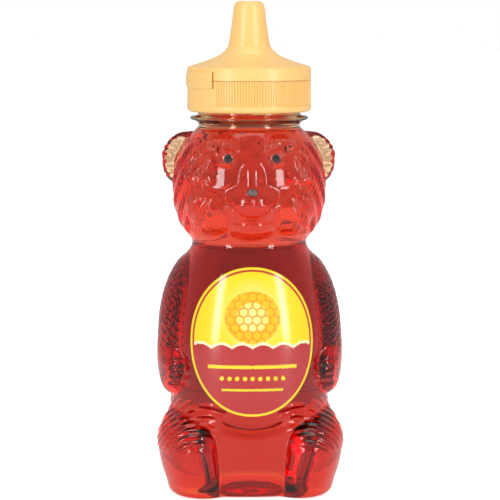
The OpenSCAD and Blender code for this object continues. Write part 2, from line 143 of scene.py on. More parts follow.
# %% Distance from the axis to the far side of limbs and lumps
def far_side(a, cx, cy, rx, ry):
    """Distance from the axis to the far side of an ellipse, 0 where the ray misses it."""
    rx, ry = np.maximum(rx, 1e-6), np.maximum(ry, 1e-6)
    ux, uy, px, py = np.cos(a) / rx, np.sin(a) / ry, cx / rx, cy / ry
    aa, bb = ux * ux + uy * uy, ux * px + uy * py
    q = bb * bb - aa * (px * px + py * py - 1)
    return np.where(q > 0, np.maximum(0, (bb + np.sqrt(np.maximum(q, 0))) / aa), 0)


def lump_reach(a, z, lump, side=1):
    s = 1 - ((z - lump[2]) / lump[5]) ** 2
    share = np.sqrt(np.maximum(s, 0))
    reach = far_side(a, side * lump[0], lump[1], lump[3] * share, lump[4] * share)
    return np.where(s > 0, reach, 0)


def limb_reach(a, z, table, side):
    inside = (z < table[-1, 0]) & ((z > table[0, 0]) | (table[0, 0] == 0))
    reach = far_side(a, side * station(table, z, CENTRE_X), station(table, z, CENTRE_Y),
                     station(table, z, HALF_X), station(table, z, HALF_Y))
    return np.where(inside, reach, 0)


print("an ear reaches", round(float(lump_reach(math.radians(12), EAR[2], EAR)), 1), "mm")

# %% [markdown]
# All parts of the bear are now joined in one distance. The inside of the wall needs the body
# without the small lumps, because a blown wall is smoother inside, so there are two functions.

# %% Distance from the axis to the skin
def body_r(a, z):
    """The bear without its eyes, brows and ears."""
    side = np.where(np.cos(a) < 0, -1, 1)
    width = station(TORSO, z, HALF_WIDTH)
    depth = np.where(np.sin(a) < 0, station(TORSO, z, FRONT), station(TORSO, z, BACK))
    n = station(TORSO, z, ROUNDNESS)
    r = ((np.abs(np.cos(a)) / width) ** n + (np.abs(np.sin(a)) / depth) ** n) ** (-1 / n)
    with_arm = soft_max(r, limb_reach(a, z, ARM, side), ARM_FILLET)
    r = np.where((z > ARM_LOW) & (z < ARM_HIGH), with_arm, r)
    r = np.where(z < LEG_HIGH, soft_max(r, limb_reach(a, z, LEG, side), LEG_FILLET), r)
    for lump in MUZZLE_AND_PAWS:
        r = soft_max(r, lump_reach(a, z, lump), lump[6])
    low = np.clip(FOOT_EDGE - z, 0, FOOT_EDGE)
    return r - (FOOT_EDGE - np.sqrt(FOOT_EDGE**2 - low * low))


def skin_r(a, z):
    """The whole bear, before the fine carving."""
    side = np.where(np.cos(a) < 0, -1, 1)
    r = plain = body_r(a, z)
    for lump in EYES_AND_BROWS:
        r = soft_max(r, lump_reach(a, z, lump), lump[6])
    ear = lump_reach(a, z, EAR, side)
    return np.where(z < FACE_LOW, plain, soft_max(r, ear, EAR_FILLET))


print("belly:", round(float(skin_r(-math.pi / 2, 50.0)), 1), "mm in front of the axis")

# %% [markdown]
# A mould maker cuts the fur, fingers and mouth into the mould, and the bottle shows them as
# soft, shallow waves. A bump map would fake them in one view only. Here they move the skin
# itself by up to about a millimetre, so that they bend the light as the real ones do.

# %% Soft edges and grooves
def fade(v, start, end):
    """0 before start, 1 after end, smooth between."""
    t = np.clip((v - start) / (end - start), 0, 1)
    return t * t * (3 - 2 * t)


def window(v, low, high, soft):
    """1 from low to high, with soft edges outside."""
    return fade(v, low - soft, low) * (1 - fade(v, high, high + soft))


def groove(distance, half):
    """A rounded furrow, 1 deep along its middle."""
    return -np.exp(-(distance / half) ** 2)


print("half way up a soft edge:", float(fade(0.5, 0, 1)))

# %% [markdown]
# Fur is cut as waves. A bent wave that breaks off here and there reads as locks on the head, two
# crossed waves as stipple on the arms, and straight ones as hairs on brows and thighs.

# %% Fur
LOCK_DEPTH, BROW_DEPTH, STIPPLE_DEPTH, THIGH_DEPTH = 0.34, 0.28, 0.20, 0.28
# from, to and soft edge in height or to the side; two numbers are a soft edge alone
HEAD_Z, FACE_SIDE = (89.5, 118, 2.5), (13.0, 16.5)
BROW_Z, BROW_SIDE, BROW_HAIR = (116.3, 120.5, 0.7), (4.5, 13.0, 1.0), 1.7
STIPPLE_Z, STIPPLE_SIDE = (50, 80, 2.0), (20.5, 23.0)
THIGH_Z, THIGH_SIDE = (17, 31, 2.0), (11.0, 14.0)
LOCK_BREAKS = (0.15, 0.6)


def head_locks(side, y, z, front):
    """Wavy locks down the sides and back of the head."""
    bend = 0.9 * np.sin(z * 0.42 + side * 0.15)
    lock = np.sin(2 * np.pi * (side * 0.42 + y * 0.30 + bend))
    broken = 0.5 + 0.5 * np.sin(z * 0.75 + side * 0.9 + y * 0.5)
    head = window(z, *HEAD_Z) * np.where(front, fade(side, *FACE_SIDE), 1)
    return LOCK_DEPTH * lock * fade(broken, *LOCK_BREAKS) * head


def brow_hairs(side, z, front):
    """Short hairs that stand on the brows."""
    brow = window(z, *BROW_Z) * window(side, *BROW_SIDE) * front
    return BROW_DEPTH * np.sin(2 * np.pi * side / BROW_HAIR + 0.5 * z) * brow


def arm_stipple(side, y, z):
    """Stippled fur on the upper arms and the shoulders."""
    up = np.sin(4.1 * z + 1.7 * np.sin(2.3 * y + side))
    across = np.sin(3.7 * y + 1.9 * side + 1.3 * np.sin(1.9 * z))
    return STIPPLE_DEPTH * (up * across) * window(z, *STIPPLE_Z) * fade(side, *STIPPLE_SIDE)


def thigh_hairs(side, y, z):
    """Long hairs that follow the top of each thigh."""
    hair = np.sin(2 * np.pi * (0.34 * z + 0.012 * (side - 18) ** 2 + 0.16 * y))
    return THIGH_DEPTH * hair * window(z, *THIGH_Z) * fade(side, *THIGH_SIDE)


print("fur stands up to", max(LOCK_DEPTH, BROW_DEPTH, STIPPLE_DEPTH, THIGH_DEPTH), "mm proud")

# %% [markdown]
# Fingers, mouth and the creases of the belly are single grooves. Each follows a line that a
# short formula gives, so its depth and width can be read and changed by themselves.

# %% Fingers, mouth and creases
FINGERS, FINGER_LOW, FINGER_STEP, FINGER_TILT, FINGER_ROOT = 4, 38.2, 2.7, 0.10, 24
FINGER_DEPTH, FINGER_HALF, FINGER_SIDE, FINGER_FRONT = 0.5, 0.5, (21.5, 27.0, 1.0), -6
SMILE_Z, SMILE_RISE, SMILE_SPAN, SMILE_SLOPE = 94.6, 6.6, 9.0, 1.5
SMILE_DEPTH, SMILE_HALF, SMILE_SIDE = 1.0, 0.55, (0, 8.8, 0.8)
SNOUT_DEPTH, SNOUT_HALF, SNOUT_Z = 0.45, 0.5, (95.0, 101.0, 0.8)
BELLY_DEPTH, BELLY_HALF, BELLY_Z, BELLY_BEND, BELLY_SIDE = 1.1, 1.3, 22.6, 0.020, (0, 9.5, 2.0)
FOLD_DEPTH, FOLD_HALF, FOLD_Z, FOLD_SLOPE, FOLD_SIDE = 0.6, 0.8, 27.0, 0.2, (10.0, 19.0, 2.0)


def finger(k, side, y, z):
    """One short groove into the inner edge of each paw."""
    line = FINGER_LOW + FINGER_STEP * k - FINGER_TILT * (side - FINGER_ROOT)
    on_paw = y < FINGER_FRONT
    return FINGER_DEPTH * groove(z - line, FINGER_HALF) * window(side, *FINGER_SIDE) * on_paw


def smile(x, side, z, front):
    """The mouth: one wide curve low on the muzzle."""
    above = z - (SMILE_Z + SMILE_RISE * (x / SMILE_SPAN) ** 2)
    away = above / np.sqrt(1 + (SMILE_SLOPE * x / SMILE_SPAN) ** 2)
    return SMILE_DEPTH * groove(away, SMILE_HALF) * window(side, *SMILE_SIDE) * front


def snout_line(x, z, front):
    """The line down from the nose to the mouth."""
    return SNOUT_DEPTH * groove(x, SNOUT_HALF) * window(z, *SNOUT_Z) * front


def belly_crease(x, side, z, front):
    """The crease under the belly."""
    line = BELLY_Z + BELLY_BEND * x * x
    return BELLY_DEPTH * groove(z - line, BELLY_HALF) * window(side, *BELLY_SIDE) * front


def thigh_fold(side, z, front):
    """The fold where the belly meets each thigh."""
    line = FOLD_Z + FOLD_SLOPE * side
    return FOLD_DEPTH * groove(z - line, FOLD_HALF) * window(side, *FOLD_SIDE) * front


print("the belly's crease is", BELLY_DEPTH, "mm deep and the mouth", SMILE_DEPTH, "mm")

# %% [markdown]
# All carving is added up and moves the skin along the ray from the axis. The ears are dished
# afterwards, straight back, because their faces look forward and not away from the axis.

# %% The carved skin
CARVING_STARTS = (1.0, 4.0)
EAR_DISH, DISH_OUT, DISH_SIDE_RIM, DISH_TOP_RIM, DISH_STEEP = 2.2, 0.6, 1.7, 1.9, 1.8
DISH_FRONT = -6


def relief(x, y, z):
    """How far the mould's carving lifts or sinks the skin, in millimetres."""
    side, front = np.abs(x), y < 0
    out = head_locks(side, y, z, front)
    out += brow_hairs(side, z, front)
    out += arm_stipple(side, y, z)
    out += thigh_hairs(side, y, z)
    for k in range(FINGERS):
        out += finger(k, side, y, z)
    out += smile(x, side, z, front)
    out += snout_line(x, z, front)
    out += belly_crease(x, side, z, front)
    out += thigh_fold(side, z, front)
    return out


def skin_point(a, z):
    """Points of the carved skin, with each ear's dish pressed in."""
    r = skin_r(a, z)
    carving = relief(r * np.cos(a), r * np.sin(a), z)
    r = r + carving * fade(z, *CARVING_STARTS)
    x, y = r * np.cos(a), r * np.sin(a)
    across = (np.abs(x) - EAR[0] - DISH_OUT) / (EAR[3] - DISH_SIDE_RIM)
    e = 1 - across ** 2 - ((z - EAR[2]) / (EAR[5] - DISH_TOP_RIM)) ** 2
    dished = (z > FACE_LOW) & (y < EAR[1]) & (y > DISH_FRONT) & (e > 0)
    return x, y + np.where(dished, EAR_DISH * np.minimum(1, DISH_STEEP * e), 0)


print("each ear is dished", EAR_DISH, "mm deep")

# %% [markdown]
# Both bodies are lofts: rings of points, one above another, joined by faces. A loft keeps the
# points in order, so the wall, the neck and its thread can all be one closed surface. The rings'
# columns stand closer together in front, where the face is.

# %% Rings
COLUMNS = 420
COLUMNS_TO_FRONT = 20
turn = np.arange(COLUMNS) / COLUMNS
to_front = math.radians(COLUMNS_TO_FRONT) * np.sin(2 * np.pi * turn)
ANGLES = 2 * np.pi * turn - math.pi / 2 - to_front


def ring(x, y, z):
    return np.column_stack([x, y, np.broadcast_to(z, x.shape)])


def round_ring(radius, z):
    radius = np.broadcast_to(radius, ANGLES.shape)
    return ring(radius * np.cos(ANGLES), radius * np.sin(ANGLES), z)


def outside_ring(z):
    return ring(*skin_point(ANGLES, np.full(COLUMNS, float(z))), z)


print("a ring has", COLUMNS, "points")

# %% [markdown]
# The cavity could be the skin shrunk by the wall, but then the wall would be thin on slopes. So
# each point takes the least distance of its neighbours before the wall is taken off. Each ear
# has a thin hollow of its own, joined to the cavity. The cavity doesn't follow the carving, so
# the wall is thinner under it. In the crease under the belly, and by a hair in the ears' dishes,
# the inside even comes through the outside, by about 0.2 mm at most: deeper creases would need
# a cavity that follows them.

# %% Rings of the cavity and the underside
NEAR_DEGREES, NEAR_HEIGHTS = (-3, 0, 3), (-1.4, 0, 1.4)
HOLLOW_FILLET = 0.5
ROUND_FOOT = 23.0


def cavity_ring(z, inset):
    reach = [body_r(ANGLES + math.radians(da), np.full(COLUMNS, max(z + dz, 0.0)))
             for da in NEAR_DEGREES for dz in NEAR_HEIGHTS]
    r = np.min(reach, axis=0) - WALL - inset
    side = np.where(np.cos(ANGLES) < 0, -1, 1)
    middle_y, half_x, half_y, half_z = EAR_INSIDE
    share = math.sqrt(max(1 - ((z - EAR[2]) / half_z) ** 2, 0))
    if share > 0:
        hollow = far_side(ANGLES, side * EAR[0], middle_y, half_x * share, half_y * share)
        r = soft_max(r, hollow - inset, HOLLOW_FILLET)
    return ring(r * np.cos(ANGLES), r * np.sin(ANGLES), z)


def drawn_in(points, share, roundness, z):
    """A ring drawn towards the axis and turned towards a circle, for the underside."""
    to_round = ROUND_FOOT / np.hypot(points[:, 0], points[:, 1])
    k = share * (1 - roundness + roundness * to_round)
    return ring(points[:, 0] * k, points[:, 1] * k, z)


print("the wall takes", WALL, "mm off the body's distance from the axis")

# %% [markdown]
# Rings become a body by joining each point to its neighbours, and a single point on the axis
# closes either end. Every new body is smooth shaded, gets its finish, and is told which moving
# body it rides on.

# %% From rings to a body
def loft(rings, first, last):
    """Points and faces of rings of one length, closed at both ends by a point on the axis."""
    n = len(rings[0])
    points = np.vstack([[first], *rings, [last]])
    here = np.arange(n)
    after = (here + 1) % n
    faces = [(0, 1 + j, 1 + i) for i, j in zip(here.tolist(), after.tolist())]
    for k in range(len(rings) - 1):
        low, high = 1 + k * n, 1 + (k + 1) * n
        faces += np.column_stack([low + here, low + after, high + after, high + here]).tolist()
    top, end = 1 + (len(rings) - 1) * n, len(points) - 1
    faces += [(top + i, top + j, end) for i, j in zip(here.tolist(), after.tolist())]
    return points, faces


def mesh_piece(name, points, faces, material, slot, body=None):
    """A mesh object from millimetres, in the frame's metres, that rides on a body."""
    mesh = bpy.data.meshes.new(name)
    mesh.from_pydata((np.asarray(points) * MM).tolist(), [], faces)
    mesh.polygons.foreach_set("use_smooth", [True] * len(mesh.polygons))
    mesh.materials.append(material)
    mesh.update()
    piece = bpy.data.objects.new(name, mesh)
    bpy.context.scene.collection.objects.link(piece)
    if body:
        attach(piece, body)
    print(name, len(mesh.vertices), "points")
    return piece


# %% [markdown]
# Every finish starts from the same shader, and most get a fine noise in the surface, because no
# moulded, printed or blown face is perfectly even. Two helpers keep that short. A third spreads
# a colour between two shades of itself by that same noise.

# %% Helpers for materials
GRAIN_DETAIL = 3.0


def new_material(name, finish):
    material = bpy.data.materials.new(name)
    material.use_nodes = True
    nodes, links = material.node_tree.nodes, material.node_tree.links
    shader = nodes["Principled BSDF"]
    for socket, value in finish.items():
        shader.inputs[socket].default_value = value
    return material, nodes, links, shader


def add_grain(nodes, links, shader, scale, strength, distance):
    """A fine noise in the surface, at a scale in waves a metre."""
    place = nodes.new("ShaderNodeTexCoord")
    noise = nodes.new("ShaderNodeTexNoise")
    noise.inputs["Scale"].default_value = scale
    noise.inputs["Detail"].default_value = GRAIN_DETAIL
    bump = nodes.new("ShaderNodeBump")
    bump.inputs["Strength"].default_value = strength
    bump.inputs["Distance"].default_value = distance
    links.new(place.outputs["Object"], noise.inputs["Vector"])
    links.new(noise.outputs["Fac"], bump.inputs["Height"])
    links.new(bump.outputs["Normal"], shader.inputs["Normal"])
    return noise


def add_shades(nodes, links, shader, noise, dark, light):
    """A base colour that wanders between two shades with the noise."""
    ramp = nodes.new("ShaderNodeValToRGB")
    ramp.color_ramp.elements[0].color = (*dark, 1)
    ramp.color_ramp.elements[1].color = (*light, 1)
    links.new(noise.outputs["Fac"], ramp.inputs["Fac"])
    links.new(ramp.outputs["Color"], shader.inputs["Base Color"])


print("grain has", GRAIN_DETAIL, "octaves")

# %% [markdown]
# The clear wall is polyester: nearly colourless and very glossy. Its index is about 1.57, and
# the shader takes 1.5, which keeps the dark edges of a clear body a little narrower. The
# roughness isn't quite zero, since a blown skin has a slight orange peel, and a faint noise in
# the bump gives that.

# %% The clear wall's finish
clear_wall, nodes, links, shader = new_material("clear_polyester", {
    "Base Color": (1.0, 0.985, 0.96, 1), "Transmission Weight": 1.0, "Roughness": 0.03,
    "IOR": 1.5})
add_grain(nodes, links, shader, 260.0, 0.10, 0.0004)
print("finish:", clear_wall.name)

# %% [markdown]
# Where honey wets the wall there is almost no step in index, so the wall's inside doesn't bend
# or mirror light. It gets a finish of its own with an index of 1, and only the outside shines.

# %% The wall's wet inside
wet_wall, nodes, links, shader = new_material("wet_inside", {
    "Base Color": (1.0, 0.99, 0.97, 1), "Transmission Weight": 1.0, "Roughness": 0.0, "IOR": 1.0})
print("finish:", wet_wall.name)

# %% [markdown]
# Honey is as clear as glass, but it drinks blue and green light on the way through. A painted
# colour would look the same in the thin ears as in the thick belly. An absorbing volume gets
# darker and redder with depth by itself, as the real fill does. Its surface has a pale amber
# tint besides, so that the thinnest parts aren't colourless.

# %% The honey's finish
HONEY_TINT = (1.0, 0.72, 0.42, 1)
HONEY_KEEPS = (0.935, 0.27, 0.05, 1)
HONEY_DENSITY = 100.0
honey_fill, nodes, links, shader = new_material("amber_honey", {
    "Base Color": HONEY_TINT, "Transmission Weight": 1.0, "Roughness": 0.0, "IOR": 1.0})
drink = nodes.new("ShaderNodeVolumeAbsorption")
drink.inputs["Color"].default_value = HONEY_KEEPS
drink.inputs["Density"].default_value = HONEY_DENSITY
links.new(drink.outputs["Volume"], nodes["Material Output"].inputs["Volume"])
print("finish:", honey_fill.name)

# %% [markdown]
# The neck has a support ring and a right-handed thread of 6 turns an inch. The thread is part of
# the wall, so it is a ridge added to the neck's rings where they meet the helix.

# %% The neck and its thread
RIM_Z, MOUTH_Z, MOUTH_R, NECK_R = 125.0, 138.2, 15.25, 17.45
RING_R, RING_TOP = 20.1, 128.0
PITCH, THREAD_H, THREAD_HALF = 4.233, 0.95, 1.15
THREAD_LOW, THREAD_TURNS, THREAD_END = 131.4, 1.25, 0.08
THREAD_WRAPS, THREAD_STEEP = 3, 1.6
THREAD_ROWS = np.arange(129.0, 137.7, 0.25)
# radius and height, from the shoulder up over the support ring
SUPPORT_RING = [
    (17.2, 124.4), (NECK_R, 125.4), (NECK_R + 0.8, RING_TOP - 1.7), (RING_R - 0.3, RING_TOP - 1.3),
    (RING_R, RING_TOP - 1.0), (RING_R, RING_TOP - 0.45), (RING_R - 0.3, RING_TOP - 0.15),
    (NECK_R + 0.5, RING_TOP), (NECK_R, RING_TOP + 0.5)]
# radius and height, over the mouth's rim and down the bore
MOUTH_RIM = [
    (NECK_R - 0.12, MOUTH_Z - 0.12), (NECK_R - 0.4, MOUTH_Z), (MOUTH_R + 0.4, MOUTH_Z),
    (MOUTH_R + 0.1, MOUTH_Z - 0.12), (MOUTH_R, MOUTH_Z - 0.4), (MOUTH_R, 130.0),
    (MOUTH_R, RIM_Z + 0.4)]


def neck_thread(z):
    """Height of the thread's ridge at each column of the ring at height z."""
    ridge = np.zeros(COLUMNS)
    for wrap in range(THREAD_WRAPS):
        turns = ANGLES / (2 * np.pi) + 0.25 + wrap
        stops = fade(turns, THREAD_TURNS - THREAD_END, THREAD_TURNS)
        run = fade(turns, 0.0, THREAD_END) * (1 - stops)
        off = np.abs(z - (THREAD_LOW + PITCH * turns)) / THREAD_HALF
        ridge = np.maximum(ridge, run * np.clip(THREAD_STEEP * (1 - off), 0, 1))
    return THREAD_H * ridge


thread_top = max(float(neck_thread(z).max()) for z in THREAD_ROWS)
print("the thread stands", round(thread_top, 2), "mm proud")

# %% [markdown]
# The wall is one closed skin: from the middle of the underside out to the foot, up the outside,
# over the mouth, and down the inside to the floor. The underside is pushed up into a dome, so
# that the bottle stands on a ring and doesn't rock.

# %% Rings of the clear shell
# from near the dome's top out to the foot: size as a share of the foot's ring, roundness from
# 0, the foot's own outline, to 1, a circle, and height as a share of the dome's
UNDER = [(0.34, 1, 0.93), (0.6, 0.9, 0.66), (0.8, 0.6, 0.22), (0.9, 0.2, 0)]
PUSH_UP, FLOOR_T, FLOOR_OUT = 5.5, 1.2, 0.03
outer_rows = np.concatenate([[0, 0.3, 0.8, 1.5], np.linspace(2.2, 123.4, 300)])
cavity_rows = np.concatenate([np.linspace(1.9, 30, 34), np.linspace(31, 123.2, 92)])


def floor_inside(lowest, lift):
    """Rings from the middle of the cavity's floor out to its lowest ring."""
    return [drawn_in(lowest, s + FLOOR_OUT, m, FLOOR_T + lift + h * PUSH_UP) for s, m, h in UNDER]


foot = outside_ring(0.0)
rings = [drawn_in(foot, s, m, h * PUSH_UP) for s, m, h in UNDER]
rings += [outside_ring(z) for z in outer_rows]
rings += [round_ring(r, z) for r, z in SUPPORT_RING]
rings += [round_ring(NECK_R + neck_thread(z), z) for z in THREAD_ROWS]
rings += [round_ring(r, z) for r, z in MOUTH_RIM]
inner_from = 1 + COLUMNS * len(rings)
cavity = [cavity_ring(z, 0.0) for z in cavity_rows]
rings += cavity[::-1] + floor_inside(cavity[0], 0)[::-1]
print("the shell has", len(rings), "rings")

# %% [markdown]
# The outer faces and the honey's side of the wall need different finishes. The points come in
# the order of the rings, so each face's first corner tells on which side it lies.

# %% The clear shell
bear_shell = mesh_piece("bear_shell", *loft(rings, (0, 0, PUSH_UP), (0, 0, PUSH_UP + FLOOR_T)),
                        clear_wall, "clear_shell", "bottle")
bear_shell.data.materials.append(wet_wall)
corner = np.array([face.vertices[0] for face in bear_shell.data.polygons])
bear_shell.data.polygons.foreach_set("material_index", (corner >= inner_from).astype(np.int32))
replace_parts(bear_shell, "bottle", "bottle_neck")

# %% [markdown]
# If honey and wall only touched, their faces would flicker through each other. The honey wets
# the real wall, so its surface here lies a few hundredths of a millimetre into the plastic.

# %% The honey
WETTING = -0.03
FILL_Z = 132.6
# how far inside the bore and how far below the fill's top, where the surface rounds off
FILL_EDGE = [(0.25, 0.15), (1.2, 0)]
wet = [cavity_ring(z, WETTING) for z in cavity_rows]
rings = floor_inside(wet[0], WETTING) + wet
rings += [round_ring(MOUTH_R - WETTING, z) for z in (RIM_Z + 0.4, 128.0, FILL_Z - 0.6)]
rings += [round_ring(MOUTH_R - inward, FILL_Z - down) for inward, down in FILL_EDGE]
honey = mesh_piece("honey_fill",
                   *loft(rings, (0, 0, PUSH_UP + FLOOR_T + WETTING), (0, 0, FILL_Z)),
                   honey_fill, "honey", "bottle")
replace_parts(honey, "honey")

# %% [markdown]
# Labels and pad-printed spots are thin skins that follow the bottle. Each is a grid of points
# laid over an oval and lifted off the skin by its own thickness, front and back, so that it
# has a real edge that catches light.

# %% Thin patches on the skin
IN_FRONT, BEHIND = -1, 1
STAND_OFF = 0.05
PLACE_STEPS, MOST_TO_THE_SIDE = 10, 0.98


def face_xy(x, z, way, lift, carved):
    """The place on the skin, in front or behind, at x and z."""
    a = way * np.full_like(x, math.pi / 2)
    for _ in range(PLACE_STEPS):
        r = skin_r(a, z) + lift
        a = way * np.arccos(np.clip(x / r, -MOST_TO_THE_SIDE, MOST_TO_THE_SIDE))
    r = skin_r(a, z) + lift
    if carved:
        r = r + relief(r * np.cos(a), r * np.sin(a), z)
    return r * np.cos(a), r * np.sin(a)


def patch(middle, half, way, thick, grid, power, carved=False, lift=STAND_OFF):
    """Points and faces of a closed oval patch, and each point's place on it from -1 to 1.

    The grid is a number of rings and of points a ring. A power of 2 gives an ellipse, and a
    higher one fuller corners.
    """
    (x0, z0), (half_x, half_z), (rings_n, n) = middle, half, grid
    f = 2 * np.pi * np.arange(n) / n
    px = np.sign(np.cos(f)) * np.abs(np.cos(f)) ** (2 / power)
    pz = np.sign(np.sin(f)) * np.abs(np.sin(f)) ** (2 / power)
    steps = np.linspace(0, 1, rings_n + 1)
    shares = np.concatenate([steps[1:], steps[:0:-1]])
    heights = [lift] * rings_n + [lift + thick] * rings_n
    rings, spots = [], [(0.0, 0.0)]
    for share, height in zip(shares, heights):
        x, z = x0 - way * share * half_x * px, z0 + share * half_z * pz
        rings.append(ring(*face_xy(x, z, way, height, carved), z))
        spots += list(zip(-way * share * px, share * pz))
    spots.append((0.0, 0.0))
    ends = []
    for height in (lift, lift + thick):
        x, y = face_xy(np.array([float(x0)]), np.array([float(z0)]), way, height, carved)
        ends.append((x[0], y[0], z0))
    return *loft(rings, ends[0], ends[1]), np.array(spots)


print("a patch stands", STAND_OFF, "mm off the skin")

# %% [markdown]
# The labels are printed film. A picture file could be wrapped round them, but then the look
# would hang on a second file. Instead each point of the dense film carries its ink as a colour,
# so a line has to be wider than the gap between two points. The film's own gloss and slight
# waviness come from the material.

# %% Printed film
YELLOW, RED, CREAM = (0.99, 0.66, 0.004), (0.45, 0.012, 0.012), (0.99, 0.90, 0.55)
ORANGE, COMB_RIM = (0.93, 0.30, 0.005), (0.97, 0.50, 0.004)


def print_film(piece, spots, paint):
    inks = piece.data.color_attributes.new("ink", "FLOAT_COLOR", "POINT")
    colours = np.ones((len(spots), 4), np.float32)
    colours[:, :3] = paint(spots[:, 0], spots[:, 1])
    inks.data.foreach_set("color", colours.ravel())


def film_material(name):
    material, nodes, links, shader = new_material(name, {
        "Roughness": 0.22, "Coat Weight": 0.6, "Coat Roughness": 0.08})
    ink = nodes.new("ShaderNodeAttribute")
    ink.attribute_name = "ink"
    links.new(ink.outputs["Color"], shader.inputs["Base Color"])
    add_grain(nodes, links, shader, 120.0, 0.12, 0.0003)
    return material


print("inks: yellow, red, cream, orange")

# %% [markdown]
# The front label's picture is made for this bottle: a warm field above, a red field below with a
# scalloped edge between them, a patch of comb cells, rules, dots and a thin border. Places on it
# run from -1 to 1, across and up.

# %% The front label's picture
SQRT_3, SIN_60, CELL_WALL = 1.732, 0.866, 0.84
GLOW_V, GLOW_FULL, GLOW_FALL, GLOW_SHARE = 0.35, 0.8, 1.5, 0.7
CELLS_ACROSS, CELLS_UP = 7.0, 8.5
COMB_V, COMB_NARROW, COMB_FLAT, COMB_REACH, COMB_MIDDLE = 0.34, 1.15, 1.5, 0.52, 0.30
SCALLOP_V, SCALLOP_H, SCALLOP_WAVES, SCALLOP_EDGE = -0.08, 0.055, 9.4, 0.035
# lower and upper edge and half length of each rule
RULES = ((-0.345, -0.30, 0.72), (-0.65, -0.62, 0.5))
DOTS_ACROSS, DOTS_V, DOT_SQUASH, DOT_SIZE, DOTS_HALF = 8, -0.48, 9.6, 0.28, 0.58
BORDER_POWER, BORDER_RED, BORDER_YELLOW = 2.1, 0.94, 0.97


def cell_distance(u, v):
    """How far a place lies from the middle of its comb cell, 1 at the cell's wall."""
    best = np.full_like(u, 9.0)
    for shift in (0.0, 0.5):
        cu = np.round(u - shift) + shift
        cv = (np.round(v / SQRT_3 - shift) + shift) * SQRT_3
        du, dv = np.abs(u - cu), np.abs(v - cv)
        best = np.minimum(best, np.maximum(du, 0.5 * du + SIN_60 * dv) * 2)
    return best


def front_paint(u, v):
    colour = np.tile(np.array(YELLOW), (len(u), 1))
    glow = np.clip(GLOW_FULL - np.hypot(u, v - GLOW_V) * GLOW_FALL, 0, 1)
    colour += (np.array(CREAM) - YELLOW) * glow[:, None] * GLOW_SHARE
    cells = cell_distance(u * CELLS_ACROSS, v * CELLS_UP)
    away = np.hypot(u * COMB_NARROW, (v - COMB_V) * COMB_FLAT)
    comb = away < COMB_REACH
    colour[comb & (cells > CELL_WALL)] = ORANGE
    colour[comb & (cells <= CELL_WALL) & (away > COMB_MIDDLE)] = COMB_RIM
    edge = SCALLOP_V + SCALLOP_H * np.abs(np.sin(u * SCALLOP_WAVES))
    colour[v < edge + SCALLOP_EDGE] = CREAM
    colour[v < edge] = RED
    for low, high, half in RULES:
        colour[(v < high) & (v > low) & (np.abs(u) < half)] = YELLOW
    across = u * DOTS_ACROSS
    dots = np.hypot(across - np.round(across), (v - DOTS_V) * DOT_SQUASH) < DOT_SIZE
    colour[dots & (np.abs(u) < DOTS_HALF)] = YELLOW
    rim = (np.abs(u) ** BORDER_POWER + np.abs(v) ** BORDER_POWER) ** (1 / BORDER_POWER)
    colour[rim > BORDER_RED] = RED
    colour[rim > BORDER_YELLOW] = YELLOW
    return colour


FILM_T = 0.25
points, faces, spots = patch((0, 53.2), (20.6, 25.0), IN_FRONT, FILM_T, (110, 360), 2.1)
front_film = mesh_piece("front_film", points, faces, film_material("printed_film"),
                        "front_film", "bottle")
print_film(front_film, spots, front_paint)
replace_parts(front_film, "front_label")

# %% [markdown]
# The back label is seen only from behind and as a dark shape through the honey. It is a pale
# film with two ruled frames, and its oval has fuller corners than the front one. The frames are
# thinner than the film's grid, so they come out broken in places.

# %% The back label
BACK_CREAM, BACK_GOLD = (0.92, 0.88, 0.78), (0.85, 0.55, 0.10)
FRAME_NARROW, FRAME_LOW = 1.08, 1.05
FRAME_RED, FRAME_GOLD = (0.86, 0.88), (0.80, 0.81)
BACK_STAND_OFF = 0.12


def back_paint(u, v):
    colour = np.tile(np.array(BACK_CREAM), (len(u), 1))
    away = np.maximum(np.abs(u) * FRAME_NARROW, np.abs(v) * FRAME_LOW)
    for (inner, outer), ink in ((FRAME_RED, RED), (FRAME_GOLD, BACK_GOLD)):
        colour[(away > inner) & (away < outer)] = ink
    return colour


points, faces, spots = patch((0, 53.5), (20.5, 25.5), BEHIND, FILM_T, (60, 240), 3.2,
                             lift=BACK_STAND_OFF)
back_film = mesh_piece("back_film", points, faces, film_material("plain_film"),
                       "back_film", "bottle")
print_film(back_film, spots, back_paint)
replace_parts(back_film, "back_label")

# %% [markdown]
# Eyes and nose are pad printed: a drop of glossy ink pressed on the raised eyeballs and on the
# snout. Their colour is almost black, with a red that comes and goes a little, as in thin ink.

# %% Ink spots
SPOT_T, SPOT_GRID, ELLIPSE = 0.12, (6, 48), 2
THIN_INK, THICK_INK = 1.5, 0.6
EYE_X, EYE_Z, EYE_HALF = 8.0, 114.7, (1.45, 1.45)
NOSE_Z, NOSE_HALF = 103.6, (1.9, 1.3)


def ink_material(name, colour):
    material, nodes, links, shader = new_material(name, {"Roughness": 0.18, "Coat Weight": 0.5})
    noise = add_grain(nodes, links, shader, 900.0, 0.08, 0.0002)
    add_shades(nodes, links, shader, noise,
               [c * THICK_INK for c in colour], [c * THIN_INK for c in colour])
    return material


eye_ink = ink_material("eye_ink", (0.014, 0.003, 0.003))
nose_ink = ink_material("nose_ink", (0.06, 0.010, 0.006))
for name, side in (("eye_left", -1), ("eye_right", 1)):
    points, faces, _ = patch((EYE_X * side, EYE_Z), EYE_HALF, IN_FRONT, SPOT_T, SPOT_GRID,
                             ELLIPSE, carved=True)
    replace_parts(mesh_piece(name, points, faces, eye_ink, "dark_ink", "bottle"), "eye_paint")
points, faces, _ = patch((0, NOSE_Z), NOSE_HALF, IN_FRONT, SPOT_T, SPOT_GRID, ELLIPSE,
                         carved=True)
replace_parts(mesh_piece("nose_spot", points, faces, nose_ink, "brown_ink", "bottle"), "nose_paint")

